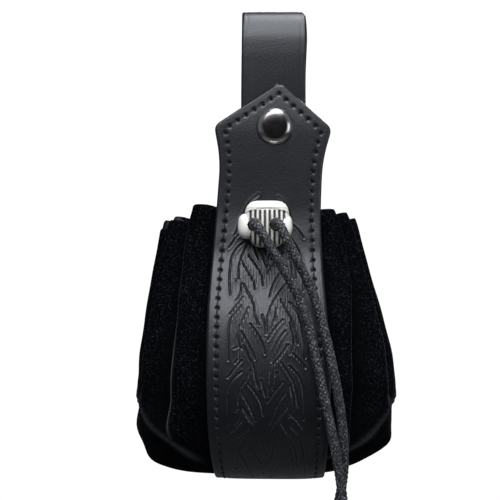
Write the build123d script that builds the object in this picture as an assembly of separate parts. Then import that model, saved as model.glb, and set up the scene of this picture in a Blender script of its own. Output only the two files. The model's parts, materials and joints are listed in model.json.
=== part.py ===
from build123d import *
import os
from math import atan2, cos, degrees, pi, radians, sin, tan

# Drawstring dice bag that hangs from a belt. Millimetres, +Z up, the front faces -Y.
# The origin is in the middle of the belt gap. A leather strip covers the front of a velvet bag,
# runs under it and up its back. Its top is a tab that snaps onto the end of the belt strap.

# --- Driving dimensions ---------------------------------------------------------------------

# leather
face_leather = 1.4  # outer layer of the strip
lining_leather = 1.0  # inner layer of the strip
strap_leather = 2.2
edge_inset = 3.8  # from the strip's edge to its stitches

# velvet bag, closed by its drawstring
bag_width = 104.6
bag_depth = 62.0
bag_height = 106.4
bag_centre_x = -1.5
bag_top_z = -60.0
wall_bulk = 3.0  # pleated cloth, from outside to inside
floor_bulk = 4.9
mouth_width = 44.0
mouth_depth = 15.0
mouth_neck = 14.0  # height of the straight part of the mouth
mouth_flare = 26.0  # height over which the mouth opens into the bag

# leather strip
neck_width = 41.2
belly_width = 48.8
foot_width = 44.0
fold_z = -54.0  # where the tab folds down
back_top_z = -51.0
bag_to_leather = 0.2

# tab
tab_width = 47.3
tab_neck_up = 14.3  # heights above the fold
tab_shoulder_up = 28.0
tab_length = 46.3
tab_tip_aside = 1.8
tab_lean = 3.0  # degrees, to the right
tab_tilt = 4.0  # degrees, top leaning back
tab_rounds = (8.0, 2.5, 3.5, 2.5, 8.0)  # neck, shoulder, tip, shoulder, neck
shoulder_follow = 0.5  # how far a corner moves in along the tab for each millimetre of inset
tip_follow = 1.3

# belt strap
strap_width = 25.8
strap_centre_x = 1.5
belt_gap = 9.0
loop_arc_z = 14.9
strap_fold_z = 12.0
strap_past_snap = 12.0
strap_end_round = 7.7
back_leg_top_z = -22.0  # the back leg is straight up from here
strap_foot_z = -76.0
anchor_margin = 2.0  # from the bag's top to the first row of the sewn box

# snap fastener
snap_cap_width = 15.0
snap_cap_rim = 0.8
snap_cap_dome = 2.3
snap_cap_shoulder = 0.7  # flat ledge round the dome
snap_aside = 0.6
snap_up = 28.0
snap_play = 0.4  # between the socket's rim and the stud's flange
post_width = 3.4
post_play = 0.05  # round a post in its hole
socket_width = 12.0
socket_height = 2.0
socket_web = 0.5
stud_width = 5.2
stud_flange_width = 11.0
stud_flange = 0.6
stud_end_play = 0.3  # between the stud and the bottom of its socket
stud_bore_past = 0.5  # depth of the stud's bore beyond its flange
stud_clearance = 0.7
eyelet_width = 9.0
eyelet_post_width = 3.0

# drawstring and bead
cord_width = 4.0
cord_clearance = 0.3
cord_wall = 1.2  # cloth left between the cord and the mouth
hole_spacing = 8.7
bead_x = -1.9
bead_z = -66.6
bead_width = 17.4
bead_height = 18.4
bead_depth = 11.0
bead_body_aside = 0.7
bead_lobe_span = 22.0
bead_lobe_width = 9.6
bead_gap = 0.3
bead_hole_play = 0.5  # round the cord in the bead
bead_corner = 4.5
bead_front_round = 2.5
bead_lobe_round = 1.2
hole_drop = 1.1
stem_inside = 14.0
ring_bend_share = 0.97  # of the largest bend that the drawstring's ring has room for
bend_share = 0.45  # of the shorter run beside a bend in a cord's route
knot_to_cord = 2.25  # the knot's width over the cord's
knot_round = 3.2
knot_length = 9.0
tuft_spread = 0.6  # how much wider than the cord its loose end is
tuft_length = 7.0

# stitches
stitch_width = 1.0
stitch_length = 3.0
stitch_pitch = 4.0
stitch_sink = 0.15

# joints
fold_gap = 0.45  # from a fold line to the leather on each side
fold_axis_out = 0.4  # the tab's fold turns about a line just outside its outer face
strap_axis_out = 1.5  # and the strap's fold about a line in front of its middle

# drawing aids
past = 1.0  # how far a cutting tool runs past what it cuts

# Shape of the bag: share of its height down from the top, share of its width, share of its depth.
bag_levels = (
    (0.000, 0.736, 0.480),
    (0.169, 0.815, 0.581),
    (0.282, 0.870, 0.726),
    (0.404, 0.925, 0.871),
    (0.526, 0.970, 0.961),
    (0.677, 1.000, 1.000),
    (0.808, 0.985, 0.952),
    (0.902, 0.908, 0.823),
    (0.968, 0.765, 0.613),
    (1.000, 0.574, 0.387),
)
seam_level = 0.902

# Shape of the strip's edges: share of the way from fold to foot, share of the way from the neck
# to the belly width (the last one is the foot).
strip_levels = ((0.00, 0.0), (0.18, 0.03), (0.34, 0.37), (0.50, 0.84), (0.62, 1.0), (0.78, 1.0))

# Routes of the two cord ends from the bead's front, chosen by hand.
left_route = (
    (-5.3, -35.5, -66.0), (-3.4, -37.3, -68.1), (0.3, -37.6, -72.8), (5.2, -37.2, -81.6),
    (10.6, -36.6, -92.6), (15.2, -36.9, -106.0), (18.4, -38.0, -121.0), (22.0, -38.6, -137.0),
    (25.4, -38.0, -153.0), (28.2, -36.6, -169.5), (29.8, -35.6, -186.0), (30.4, -35.0, -201.5),
)
right_route = (
    (3.7, -35.5, -65.8), (6.1, -37.2, -67.3), (9.2, -37.2, -71.6), (12.2, -36.2, -79.8),
    (15.8, -35.4, -90.0), (20.2, -35.3, -103.0), (23.8, -36.1, -117.6), (26.8, -36.0, -133.0),
    (29.0, -34.2, -148.4), (29.6, -31.9, -163.0), (27.6, -30.0, -175.6), (24.6, -28.8, -187.0),
)

# --- Worked out from them -------------------------------------------------------------------

strip_leather = face_leather + lining_leather
bag_foot_z = bag_top_z - bag_height
seam_z = bag_top_z - seam_level * bag_height
cord_hole = cord_width + 2 * cord_clearance
bead_hole = cord_width + 2 * bead_hole_play
knot_width = knot_to_cord * cord_width
snap_stack = socket_height + snap_play + stud_flange  # between the tab and the strap
stud_height = socket_height - socket_web + snap_play - stud_end_play
post_hole = post_width + 2 * post_play
eyelet_hole = eyelet_post_width + 2 * post_play
wide = 4 * bag_width  # longer than the whole bag, for cutting tools


def bag_half_size(level):
    """Half width and half depth of the bag's outside at a share of its height."""
    for low, high in zip(bag_levels, bag_levels[1:]):
        if level <= high[0]:
            part = (level - low[0]) / (high[0] - low[0])
            share = [a + (b - a) * part for a, b in zip(low, high)]
            return share[1] * bag_width / 2, share[2] * bag_depth / 2
    return bag_levels[-1][1] * bag_width / 2, bag_levels[-1][2] * bag_depth / 2


def level_z(level):
    return bag_top_z - level * bag_height


def turned(y, z):
    return Vector(0, y, z)


# The tab's plane: X across, Y up along the tab, Z out of its outer face, origin on the fold line.
tab_up = turned(sin(radians(tab_tilt)), cos(radians(tab_tilt)))
tab_out = turned(-cos(radians(tab_tilt)), sin(radians(tab_tilt)))
strap_fold = turned(-(belt_gap + strap_leather) / 2, strap_fold_z)
strap_depth = strap_leather / 2 + snap_stack + strip_leather
strap_fold_up = (strap_fold_z - fold_z + strap_depth * tab_out.Z) / tab_up.Z
tab_fold = strap_fold + tab_out * strap_depth - tab_up * strap_fold_up
tab_plane = Plane(origin=tab_fold, x_dir=(1, 0, 0), z_dir=tab_out)
strap_face_depth = strip_leather + snap_stack  # from the tab's outer face to the strap's
snap_x = snap_aside * cos(radians(tab_lean)) + snap_up * sin(radians(tab_lean))
snap_y = -snap_aside * sin(radians(tab_lean)) + snap_up * cos(radians(tab_lean))


def bag_side(side):
    """Points (y, z) down the bag's middle, in front (side -1) or behind (side 1)."""
    return [(side * share[2] * bag_depth / 2, level_z(share[0])) for share in bag_levels]


def strip_line(side):
    """The line that the strip's inner face lies on, from its top to the middle underneath."""
    top = fold_z - fold_gap if side < 0 else back_top_z
    top_y = abs(tab_fold.Y) - strip_leather - bag_to_leather
    return [(side * top_y, top)] + bag_side(side) + [(0, bag_foot_z)]


def offset_line(points, distance):
    """A line of (y, z) points moved to the left of its direction, with mitred corners."""
    spots = [Vector(*point) for point in points]
    ways = [(b - a).normalized() for a, b in zip(spots, spots[1:])]
    moved = []
    for index, spot in enumerate(spots):
        before = ways[max(index - 1, 0)]
        after = ways[min(index, len(ways) - 1)]
        side = Vector(-before.Y, before.X)
        mitre = (side + Vector(-after.Y, after.X)).normalized()
        moved.append(spot + mitre * (distance / mitre.dot(side)))
    return [(spot.X, spot.Y) for spot in moved]


def layer(points, near, far, x=0.0, width=wide):
    """A sheet between two offsets of a line of (y, z) points, as wide as width about x."""
    outline = offset_line(points, near) + offset_line(points, far)[::-1]
    face = Plane.YZ.offset(x) * make_face(Polyline(*outline, close=True))
    return extrude(face, amount=width / 2, both=True)


def strip_layer(side, start, thickness):
    """One leather layer of the strip, from start to start + thickness off the bag."""
    near = side * (bag_to_leather + start)
    return layer(strip_line(side), near, near + side * thickness) & strip_outline()


def strip_foot_z():
    return bag_foot_z - bag_to_leather - strip_leather


def strip_half_widths():
    """(z, half width) down the strip's edge."""
    height = fold_z - strip_foot_z()
    edge = [
        (fold_z - share * height, (neck_width + (belly_width - neck_width) * out) / 2)
        for share, out in strip_levels
    ]
    return edge + [(strip_foot_z(), foot_width / 2)]


def strip_half_width(z):
    edge = strip_half_widths()
    if z >= edge[0][0]:
        return edge[0][1]
    for high, low in zip(edge, edge[1:]):
        if z >= low[0]:
            return high[1] + (low[1] - high[1]) * (high[0] - z) / (high[0] - low[0])
    return edge[-1][1]


def strip_outline():
    edge = strip_half_widths()
    edge = [(wide + edge[0][0], edge[0][1])] + edge + [(edge[-1][0] - strip_leather, edge[-1][1])]
    points = [(half, z) for z, half in edge] + [(-half, z) for z, half in reversed(edge)]
    return extrude(Plane.XZ * make_face(Polyline(*points, close=True)), amount=wide, both=True)


def strip_slope(side):
    """Angle of the strip from upright, in degrees, beside the bag's mouth."""
    top, low = bag_side(side)[:2]
    return degrees(atan2(abs(low[0]) - abs(top[0]), top[1] - low[1]))


def strip_face_y(z, side):
    """Distance from the middle to the strip's outer face, beside the bag's mouth."""
    slope = tan(radians(strip_slope(side)))
    inner = bag_levels[0][2] * bag_depth / 2 + (bag_top_z - z) * slope
    return inner + (bag_to_leather + strip_leather) / cos(radians(strip_slope(side)))


# The bead's plane: X across, Y up along the strip, Z out of it, origin on the strip's outer face.
bead_slope = radians(strip_slope(-1))
bead_plane = Plane(
    origin=(bead_x, -strip_face_y(bead_z, -1), bead_z),
    x_dir=(1, 0, 0),
    z_dir=(0, -cos(bead_slope), sin(bead_slope)),
)
bead_front = bead_gap + bead_depth


def place(plane, shape, x=0.0, y=0.0, z=0.0):
    return plane * Pos(x, y, z) * shape


def rod(width, bottom, top):
    """A round bar along Z."""
    return Pos(0, 0, (bottom + top) / 2) * Cylinder(width / 2, top - bottom)


# --- Stitches -------------------------------------------------------------------------------


def stitch(spot, along, out):
    plane = Plane(origin=spot - out * stitch_sink, x_dir=along, z_dir=out)
    return plane * Cylinder(stitch_width / 2, stitch_length, rotation=(0, 90, 0))


def walk(points, margin=0.0):
    """Evenly spaced (spot, direction) pairs along a line of points, a pitch apart."""
    spots = [Vector(*point) for point in points]
    lengths = [(b - a).length for a, b in zip(spots, spots[1:])]
    room = sum(lengths) - 2 * margin
    count = max(int(room / stitch_pitch), 1)
    for index in range(count):
        rest = margin + room * (index + 0.5) / count
        for start, end, length in zip(spots, spots[1:], lengths):
            if rest <= length:
                way = (end - start).normalized()
                yield start + way * rest, way
                break
            rest -= length


def strip_stitches(side):
    """Rows down both edges of the strip, on its outer face."""
    outer = offset_line(strip_line(side), side * (bag_to_leather + strip_leather))
    stitches = []
    for edge in (-1, 1):
        row = [(edge * (strip_half_width(z) - edge_inset), y, z) for y, z in outer]
        for spot, way in walk(row, margin=stitch_pitch / 2):
            out = Vector(-side, 0, 0).cross(way).normalized()
            stitches.append(stitch(spot, way, out))
    return stitches


# --- Tab ------------------------------------------------------------------------------------


def tab_corners(inset=0.0):
    """Corners of the tab in its own plane, from lower left round the tip to lower right."""
    half = tab_width / 2 - inset
    neck = neck_width / 2 - inset
    upper = [
        (-neck, tab_neck_up), (-half, tab_shoulder_up - shoulder_follow * inset),
        (tab_tip_aside, tab_length - tip_follow * inset),
        (half, tab_shoulder_up - shoulder_follow * inset), (neck, tab_neck_up),
    ]
    lean = radians(tab_lean)
    upper = [(x * cos(lean) + y * sin(lean), y * cos(lean) - x * sin(lean)) for x, y in upper]
    return [(-neck, fold_gap)] + upper + [(neck, fold_gap)]


def tab_face():
    corners = tab_corners()
    outline = FilletPolyline(*corners, radius=list(tab_rounds))
    return make_face(Curve() + [outline, Line(corners[-1], corners[0])])


def tab_layer(start, thickness):
    sheet = extrude(Pos(0, 0, -start - thickness) * tab_face(), amount=thickness)
    hole = Pos(snap_x, snap_y, 0) * rod(post_hole, -start - thickness - past, past)
    return tab_plane * (sheet - hole)


def tab_stitches():
    out = tab_plane.z_dir
    row = [tab_plane.from_local_coords(Vector(x, y, 0)) for x, y in tab_corners(edge_inset)]
    return [stitch(spot, way, out) for spot, way in walk(row, margin=stitch_pitch / 2)]


# --- Belt strap -----------------------------------------------------------------------------


def strap_loop():
    """Sewn end, back leg and arc over the belt, down to the fold in front."""
    back = strip_line(1)
    outer = offset_line(back, bag_to_leather + strip_leather)
    top, first, second = [Vector(*point) for point in outer[:3]]
    foot = first + (second - first) * ((strap_foot_z - first.Y) / (second.Y - first.Y))
    half_gap = belt_gap / 2
    inner = [(foot.X, foot.Y), (first.X, first.Y), (top.X, top.Y)]
    inner += [(half_gap, back_leg_top_z), (half_gap, loop_arc_z)]
    back_leg = layer(inner, 0, -strap_leather, strap_centre_x, strap_width)
    ring = Circle(half_gap + strap_leather) - Circle(half_gap)
    upper = Pos(0, wide / 2) * Rectangle(wide, wide)
    front_leg_low = strap_fold_z + fold_gap
    stub = Pos(-half_gap - strap_leather / 2, (loop_arc_z + front_leg_low) / 2) * Rectangle(
        strap_leather, loop_arc_z - front_leg_low
    )
    over = Pos(0, loop_arc_z) * (ring & upper) + stub
    arc = extrude(Plane.YZ.offset(strap_centre_x) * over, amount=strap_width / 2, both=True)
    return back_leg + arc


def strap_anchor_stitches():
    """A box of stitches through the strap's sewn end and the back panel."""
    outer = offset_line(strip_line(1), bag_to_leather + strip_leather + strap_leather)
    first, second = [Vector(0, *point) for point in outer[1:3]]
    way = (second - first).normalized()
    out = Vector(-1, 0, 0).cross(way).normalized()
    top = first + way * anchor_margin
    low = first + way * ((first.Z - strap_foot_z) - edge_inset / 2)
    half = strap_width / 2 - edge_inset
    centre = Vector(strap_centre_x, 0, 0)
    left, right = Vector(-half, 0, 0), Vector(half, 0, 0)
    corners = [top + centre + left, low + centre + left, low + centre + right]
    corners += [top + centre + right, top + centre + left]
    stitches = []
    for start, end in zip(corners, corners[1:]):
        for spot, along in walk([start, end], margin=stitch_pitch / 4):
            stitches.append(stitch(spot, along, out))
    return stitches


def strap_end():
    """Front leg of the strap, from the fold to its rounded end behind the tab."""
    low = snap_y - strap_past_snap
    high = strap_fold_up - fold_gap
    outline = Pos(strap_centre_x, (low + high) / 2) * Rectangle(strap_width, high - low)
    outline = fillet(outline.vertices().sort_by(Axis.Y)[:2], strap_end_round)
    sheet = extrude(Pos(0, 0, -strap_face_depth - strap_leather) * outline, amount=strap_leather)
    hole = Pos(snap_x, snap_y, 0) * rod(
        eyelet_hole, -strap_face_depth - strap_leather - past, past
    )
    return tab_plane * (sheet - hole)


# --- Snap fastener --------------------------------------------------------------------------


def on_snap(shape):
    return place(tab_plane, shape, snap_x, snap_y)


def snap_cap():
    """Domed cap on the tab's face, with its post through both layers."""
    shoulder = snap_cap_width / 2 - snap_cap_shoulder
    ball = (shoulder**2 + snap_cap_dome**2) / (2 * snap_cap_dome)
    dome = Pos(0, 0, snap_cap_rim + snap_cap_dome - ball) * Sphere(ball)
    dome &= Pos(0, 0, snap_cap_rim + ball) * Box(2 * ball, 2 * ball, 2 * ball)
    rim = rod(snap_cap_width, 0, snap_cap_rim)
    return on_snap(rim + dome + rod(post_width, -strip_leather - socket_web, 0))


def snap_socket():
    """Ring on the tab's back that the stud clicks into."""
    top = -strip_leather
    body = rod(socket_width, top - socket_height, top)
    hollow = rod(stud_width + 2 * stud_clearance, top - socket_height - past, top - socket_web)
    return on_snap(body - hollow - rod(post_hole, top - socket_web - past, top + past))


def snap_stud():
    face = -strap_face_depth
    body = rod(stud_flange_width, face, face + stud_flange)
    body += rod(stud_width, face, face + stud_flange + stud_height)
    return on_snap(body - rod(eyelet_hole, face - past, face + stud_flange + stud_bore_past))


def snap_eyelet():
    """Disc behind the strap, with its post through the strap into the stud."""
    back = -strap_face_depth - strap_leather
    body = rod(eyelet_width, back - stud_flange, back)
    return on_snap(body + rod(eyelet_post_width, back, back + strap_leather + stud_flange))


# --- Velvet bag -----------------------------------------------------------------------------


def oval(half_width, half_depth, z):
    return Plane.XY.offset(z) * Pos(bag_centre_x, 0) * Ellipse(half_width, half_depth)


def cavity_half_size(level):
    """The inside: the mouth at the top, then opening to the outside less the cloth's bulk."""
    drop = level * bag_height
    part = min(max((drop - mouth_neck) / mouth_flare, 0.0), 1.0)
    outer = bag_half_size(level)
    mouth = (mouth_width / 2, mouth_depth / 2)
    return [m + (o - wall_bulk - m) * part for m, o in zip(mouth, outer)]


def bag_shell():
    outside = loft(
        [oval(*bag_half_size(share[0]), level_z(share[0])) for share in bag_levels], ruled=True
    )
    levels = [0.0, mouth_neck / bag_height] + [
        share[0]
        for share in bag_levels
        if mouth_neck < share[0] * bag_height < seam_level * bag_height - past
    ]
    sections = [oval(*cavity_half_size(level), level_z(level)) for level in levels]
    sections[0] = oval(*cavity_half_size(0.0), bag_top_z + past)
    sections.append(oval(*cavity_half_size(seam_level), seam_z))
    low = bag_half_size(1.0 - floor_bulk / 2 / bag_height)
    sections.append(oval(low[0], low[1], bag_foot_z + floor_bulk))
    return outside - loft(sections, ruled=True)


def stem_local(side):
    """A cord's place across the bead, and down from its middle."""
    return side * hole_spacing / 2, -hole_drop


def stem_holes(width):
    holes = []
    for side in (-1, 1):
        x, y = stem_local(side)
        holes.append(place(bead_plane, rod(width, -stem_inside - 2 * past, strip_leather), x, y))
    return holes


def held_cord(width, short):
    """The drawstring round the mouth, inside the pleats, short of each stem by a distance."""
    depth = mouth_depth / 2 + cord_wall + cord_hole / 2
    half = mouth_width / 2 + cord_wall + cord_hole / 2
    inward = (strip_face_y(bead_z, -1) - depth) / cos(bead_slope)
    x, y = stem_local(1)
    z = bead_plane.from_local_coords(Vector(0, y, -inward)).Z
    left, right = bead_x - x - short, bead_x + x + short
    middle = bag_centre_x
    corners = [(left, -depth), (middle - half, -depth), (middle - half, depth)]
    corners += [(middle + half, depth), (middle + half, -depth), (right, -depth)]
    route = FilletPolyline(*[(cx, cy, z) for cx, cy in corners], radius=depth * ring_bend_share)
    section = Plane(origin=route @ 0, z_dir=route % 0) * Circle(width / 2)
    return sweep(section, path=route)


def bag_wall():
    wall = bag_shell() & Pos(0, 0, seam_z + wide / 2) * Box(wide, wide, wide)
    wall -= held_cord(cord_hole, 0.0)
    for hole in stem_holes(cord_hole):
        wall -= hole
    return wall


def bag_base():
    return bag_shell() & Pos(0, 0, seam_z - wide / 2) * Box(wide, wide, wide)


# --- Strip ----------------------------------------------------------------------------------


def front_panel(start, thickness):
    panel = strip_layer(-1, start, thickness)
    for hole in stem_holes(cord_hole):
        panel -= hole
    return panel


# --- Bead, cords and knots ------------------------------------------------------------------


def cord_bead():
    middle = bead_gap + bead_depth / 2
    body = Pos(bead_body_aside, 0, middle) * Box(bead_width, bead_height, bead_depth)
    body = fillet(body.edges().filter_by(Axis.Z), bead_corner)
    body = fillet(body.faces().sort_by(Axis.Z)[-1].edges(), bead_front_round)
    lobe = Cylinder(bead_lobe_width / 2, bead_lobe_span, rotation=(0, 90, 0))
    lobe = Pos(0, -hole_drop, middle) * fillet(lobe.edges().filter_by(GeomType.CIRCLE), bead_lobe_round)
    body += lobe
    for side in (-1, 1):
        x, y = stem_local(side)
        body -= Pos(x, y, 0) * rod(bead_hole, -past, bead_front + past)
    return bead_plane * body


def stem(side):
    x, y = stem_local(side)
    return place(bead_plane, rod(cord_width, -stem_inside, bead_front), x, y)


def tail_points(side):
    """The cord's exit in the middle of the bead's front, a short way straight on, its route."""
    x, y = stem_local(side)
    ends = [Vector(x, y, bead_front), Vector(x, y, bead_front + 0.7 * cord_width)]
    route = left_route if side < 0 else right_route
    return [bead_plane.from_local_coords(end) for end in ends] + [Vector(*p) for p in route]


def bend_radii(points):
    """Each arc as large as its two runs allow."""
    radii = []
    for before, corner, after in zip(points, points[1:], points[2:]):
        one, two = corner - before, after - corner
        half_turn = radians(one.get_angle(two)) / 2
        radii.append(bend_share * min(one.length, two.length) / tan(half_turn))
    return radii


def tail_route(side):
    points = tail_points(side)
    return FilletPolyline(*points, radius=bend_radii(points))


def cord_tail(side):
    route = tail_route(side)
    return sweep(Plane(origin=route @ 0, z_dir=route % 0) * Circle(cord_width / 2), path=route)


def knot(side):
    """Overhand knot at the cord's end, with the short end that sticks out of it."""
    route = tail_route(side)
    barrel = Pos(0, 0, knot_length / 2) * Cylinder(knot_width / 2, knot_length)
    barrel = fillet(barrel.edges().filter_by(GeomType.CIRCLE), knot_round)
    tuft = rod(cord_width + tuft_spread, knot_length - past, knot_length + tuft_length)
    return Plane(origin=route @ 1, z_dir=route % 1) * (barrel + tuft)


# --- Writing --------------------------------------------------------------------------------

nodes = {
    "tab_outer": tab_layer(0, face_leather),
    "tab_lining": tab_layer(face_leather, lining_leather),
    "tab_stitches": tab_stitches(),
    "snap_cap": snap_cap(),
    "snap_socket": snap_socket(),
    "front_panel_outer": front_panel(lining_leather, face_leather),
    "front_panel_lining": front_panel(0, lining_leather),
    "front_panel_stitches": strip_stitches(-1),
    "back_panel_outer": strip_layer(1, lining_leather, face_leather),
    "back_panel_lining": strip_layer(1, 0, lining_leather),
    "back_panel_stitches": strip_stitches(1),
    "belt_strap_loop": strap_loop(),
    "strap_anchor_stitches": strap_anchor_stitches(),
    "belt_strap_end": strap_end(),
    "snap_stud": snap_stud(),
    "snap_eyelet": snap_eyelet(),
    "bag_wall": bag_wall(),
    "bag_base": bag_base(),
    "drawstring_held": held_cord(cord_width, cord_hole / 2 + cord_clearance),
    "cord_bead": cord_bead(),
}
for side, name in ((-1, "left"), (1, "right")):
    nodes["drawstring_stem_" + name] = stem(side)
    nodes["cord_tail_" + name] = cord_tail(side)
    nodes["cord_knot_" + name] = knot(side)

os.makedirs("parts", exist_ok=True)
for name, shape in nodes.items():
    solids = shape if isinstance(shape, list) else shape.solids()
    whole = solids[0] if len(solids) == 1 else Compound(children=list(solids))
    export_step(whole, "parts/" + name + ".step")

for side, name in ((-1, "left"), (1, "right")):
    route = tail_route(side)
    tube = pi * (cord_width / 2) ** 2 * route.length
    print(name, "tail length", round(route.length, 1), "radii",
          [round(radius, 1) for radius in bend_radii(tail_points(side))])
    print(name, "tail volume", round(cord_tail(side).volume, 1), "section x length", round(tube, 1))
print("tab turns about", tab_fold + tab_out * fold_axis_out)
print("strap turns about", strap_fold + tab_out * strap_axis_out)
print("bead", bead_plane.origin, bead_plane.z_dir)
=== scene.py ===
"""Drawstring dice bag: pleated velvet, an embossed leather strip, a belt strap and a braided cord.

Lengths are in millimetres until a mesh is made. The front faces -Y and Z is up.
"""

import json
import math

import bmesh
import bpy
import numpy as np
from mathutils import Matrix, Vector


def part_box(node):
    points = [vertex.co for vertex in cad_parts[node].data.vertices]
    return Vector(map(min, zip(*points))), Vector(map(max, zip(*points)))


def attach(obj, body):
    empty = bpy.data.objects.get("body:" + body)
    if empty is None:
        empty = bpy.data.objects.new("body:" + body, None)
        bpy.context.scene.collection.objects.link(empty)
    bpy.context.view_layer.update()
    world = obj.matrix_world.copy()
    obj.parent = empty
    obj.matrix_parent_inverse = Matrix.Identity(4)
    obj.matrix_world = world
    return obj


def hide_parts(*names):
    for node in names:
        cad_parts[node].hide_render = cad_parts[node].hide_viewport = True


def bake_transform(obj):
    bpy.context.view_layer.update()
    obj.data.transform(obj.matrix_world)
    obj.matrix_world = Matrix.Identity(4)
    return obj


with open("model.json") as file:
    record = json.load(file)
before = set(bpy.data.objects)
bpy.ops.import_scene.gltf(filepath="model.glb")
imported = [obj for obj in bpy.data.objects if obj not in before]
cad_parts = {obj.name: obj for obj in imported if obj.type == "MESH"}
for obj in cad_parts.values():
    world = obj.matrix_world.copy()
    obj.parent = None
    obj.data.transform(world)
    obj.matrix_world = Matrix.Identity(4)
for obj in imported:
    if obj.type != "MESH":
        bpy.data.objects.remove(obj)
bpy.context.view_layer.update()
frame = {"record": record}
MM = 0.001


def in_mm(point):
    return np.array(point, float) / MM


def node_box(node):
    low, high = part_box(node)
    return in_mm(low), in_mm(high)


JOINTS = {joint["name"]: joint for joint in frame["record"]["behaviour"]["joints"]}
PULL = np.array(JOINTS["drawstring_pull"]["axis"], float)

# --- Lines ----------------------------------------------------------------------------------


def smooth_line(points, step):
    """A smooth line through the points, sampled about every step."""
    spots = np.array(points, float)
    ends = np.vstack([2 * spots[0] - spots[1], spots, 2 * spots[-1] - spots[-2]])
    out = []
    for a, b, c, d in zip(ends, ends[1:], ends[2:], ends[3:]):
        count = max(int(np.linalg.norm(c - b) / step), 1)
        t = (np.arange(count) / count)[:, None]
        out.append(
            0.5 * (2 * b + (c - a) * t + (2 * a - 5 * b + 4 * c - d) * t**2
                   + (3 * b - a - 3 * c + d) * t**3)
        )
    return np.vstack(out + [spots[-1:]])


def lengths_along(line):
    steps = np.linalg.norm(np.diff(line, axis=0), axis=1)
    return np.concatenate([[0.0], np.cumsum(steps)])


def at_lengths(line, places):
    along = lengths_along(line)
    return np.stack([np.interp(places, along, line[:, k]) for k in range(line.shape[1])], axis=1)


def evenly(line, count):
    return at_lengths(line, np.linspace(0, lengths_along(line)[-1], count))


def rounded(corners, cuts):
    """A polygon's open outline with each inner corner cut back and rounded."""
    spots = [np.array(corner, float) for corner in corners]
    line = [spots[0][None]]
    for before, corner, after, cut in zip(spots, spots[1:], spots[2:], cuts):
        start = corner + (before - corner) / np.linalg.norm(before - corner) * cut
        end = corner + (after - corner) / np.linalg.norm(after - corner) * cut
        t = np.linspace(0, 1, 9)[:, None]
        line.append((1 - t) ** 2 * start + 2 * t * (1 - t) * corner + t**2 * end)
    return np.vstack(line + [spots[-1][None]])


def distance_to(line, x, y):
    """Distance from each point (x, y) to a line of points."""
    best = np.full(x.shape, 1e9)
    for (ax, ay), (bx, by) in zip(line, line[1:]):
        dx, dy = bx - ax, by - ay
        size = max(dx * dx + dy * dy, 1e-9)
        t = np.clip(((x - ax) * dx + (y - ay) * dy) / size, 0, 1)
        best = np.minimum(best, np.hypot(x - ax - t * dx, y - ay - t * dy))
    return best


def smoothstep(low, high, value):
    t = np.clip((value - low) / (high - low), 0, 1)
    return t * t * (3 - 2 * t)


def ripple(x, y, seed, scale):
    """Soft unevenness between about -1 and 1."""
    local = np.random.default_rng(seed)
    total = np.zeros_like(x)
    for _ in range(6):
        kx, ky = local.normal(size=2) / scale
        total += np.sin(kx * x + ky * y + local.uniform(0, 2 * math.pi))
    return total / 3.0


# --- Meshes ---------------------------------------------------------------------------------


def to_scene(name, data):
    """A new object in the scene, holding a mesh, a lamp or a camera."""
    made = bpy.data.objects.new(name, data)
    bpy.context.scene.collection.objects.link(made)
    return made


def to_mesh(name, bm):
    """Turn a bmesh into a mesh, and free it."""
    mesh = bpy.data.meshes.new(name)
    bm.to_mesh(mesh)
    bm.free()
    return mesh


def add_piece(name, bm, material):
    """A new object from a bmesh in millimetres."""
    bmesh.ops.scale(bm, vec=(MM, MM, MM), verts=bm.verts)
    for face in bm.faces:
        face.smooth = True
    piece = to_scene(name, to_mesh(name, bm))
    piece.data.materials.append(material)
    return piece


def join_into(bm, part):
    """Add one bmesh to another."""
    mesh = to_mesh("part", part)
    bm.from_mesh(mesh)
    bpy.data.meshes.remove(mesh)


def mark(bm, key, values):
    """Keep one number for each vertex, for its material to read."""
    layer = bm.verts.layers.float.new(key)
    for vert, value in zip(bm.verts, values):
        vert[layer] = value


def move_points(bm, shape):
    """Move every vertex of a bmesh to where shape puts it."""
    old = np.array([vert.co for vert in bm.verts])
    for vert, new in zip(bm.verts, shape(old)):
        vert.co = new


def grid(columns, rows, shape, wrap=False):
    """A sheet of columns x rows faces; shape turns (u, v) in 0..1 into points."""
    bm = bmesh.new()
    bmesh.ops.create_grid(bm, x_segments=columns, y_segments=rows, size=0.5, calc_uvs=True)
    move_points(bm, lambda old: shape(old[:, 0] + 0.5, old[:, 1] + 0.5))
    if wrap:
        bmesh.ops.remove_doubles(bm, verts=bm.verts, dist=1e-4)
    return bm


def apply_modifiers(piece):
    """Bake an object's modifiers into its mesh."""
    evaluated = piece.evaluated_get(bpy.context.evaluated_depsgraph_get())
    mesh = bpy.data.meshes.new_from_object(evaluated)
    piece.modifiers.clear()
    piece.data = mesh
    return piece


def thicken(piece, thickness):
    """Give a sheet its thickness, behind its outer face."""
    modifier = piece.modifiers.new("wall", "SOLIDIFY")
    modifier.thickness = thickness * MM
    modifier.offset = -1.0
    return apply_modifiers(piece)


def store(piece, name, values):
    """Keep one number for each vertex of a finished object."""
    layer = piece.data.attributes.new(name, "FLOAT", "POINT")
    layer.data.foreach_set("value", np.asarray(values, np.float32))


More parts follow.
